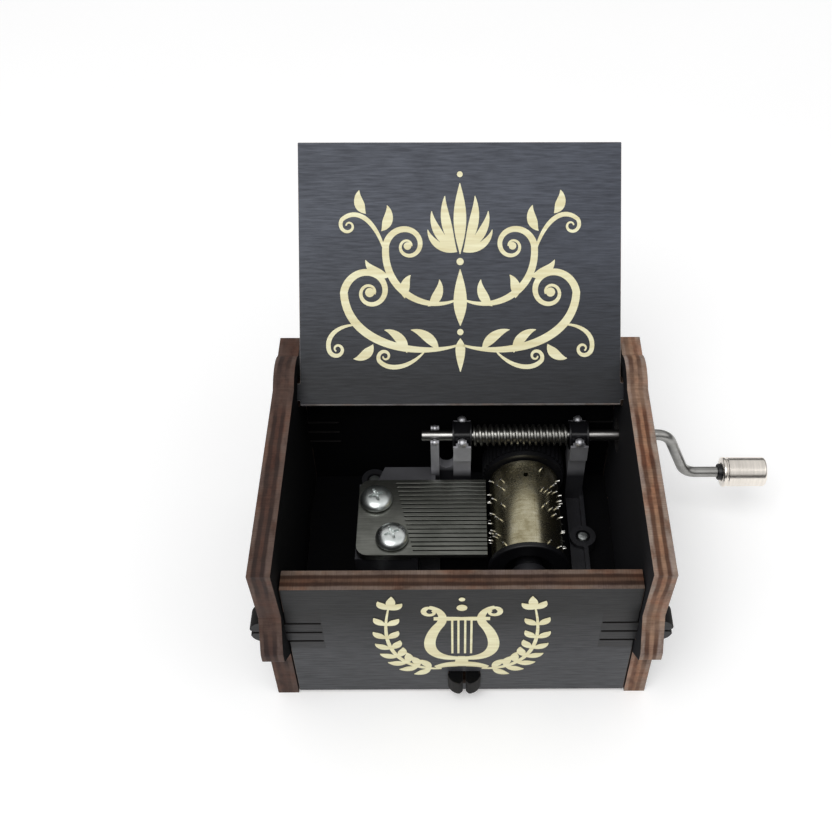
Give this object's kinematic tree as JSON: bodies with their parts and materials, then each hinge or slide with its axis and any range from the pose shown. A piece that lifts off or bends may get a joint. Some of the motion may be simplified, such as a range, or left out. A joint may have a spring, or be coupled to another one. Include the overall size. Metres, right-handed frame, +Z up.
{
  "type": "hand-cranked music box",
  "caption": "Snap-together plywood box with a leaning lid and an open movement: a cranked worm turns a pinned cylinder that plucks a steel comb.",
  "frame": {"origin": "on the table, under the middle of the back panel's bottom edge", "axes": "+X towards the crank, +Y towards the back, where the open lid leans, +Z up"},
  "size_m": [0.0917, 0.0759, 0.0661],
  "materials": {
    "black_plywood": "matte black stain, laser-burnt brown edges",
    "cast_metal": "dark grey as-cast",
    "comb_steel": "ground, dark",
    "bright_steel": "bright, nickel plated",
    "knob_metal": "turned, satin",
    "brass": "rolled, pale",
    "dark_plastic": "moulded"
  },
  "bodies": {
    "case": {"left_side_panel": "black_plywood", "right_side_panel": "black_plywood", "front_panel": "black_plywood", "back_panel": "black_plywood", "floor_panel": "black_plywood", "bedplate": "cast_metal", "comb": "comb_steel", "rear_comb_screw": "bright_steel", "front_comb_screw": "bright_steel", "right_mounting_screw": "bright_steel", "rear_mounting_screw": "bright_steel", "front_mounting_screw": "bright_steel", "left_bushing": "dark_plastic", "right_bushing": "dark_plastic"},
    "lid": {"lid": "black_plywood"},
    "crank": {"crankshaft": "bright_steel", "worm": "bright_steel"},
    "cylinder": {"pinned_cylinder": "brass", "drive_gear": "dark_plastic", "cylinder_end_cap": "dark_plastic", "cylinder_arbor": "bright_steel"},
    "knob": {"crank_knob": "knob_metal", "knob_bush": "dark_plastic"}
  },
  "joints": [
    {"name": "lid_hinge", "type": "hinge", "parent": "case", "child": "lid", "pos_m": [0, -0.0052, 0.0344], "axis": [1, 0, 0], "range_deg": [0, 135]},
    {"name": "crank_turn", "type": "hinge", "parent": "case", "child": "crank", "pos_m": [0, -0.00685, 0.02455], "axis": [1, 0, 0], "continuous": true},
    {"name": "cylinder_turn", "type": "hinge", "parent": "case", "child": "cylinder", "pos_m": [0.0117, -0.02, 0.01545], "axis": [0, 1, 0], "continuous": true},
    {"name": "knob_spin", "type": "hinge", "parent": "crank", "child": "knob", "pos_m": [0.055, -0.00685, 0.0138], "axis": [1, 0, 0], "continuous": true}
  ],
  "couplings": [
    {"joint": "cylinder_turn", "follows": "crank_turn", "ratio": -0.02381}
  ]
}
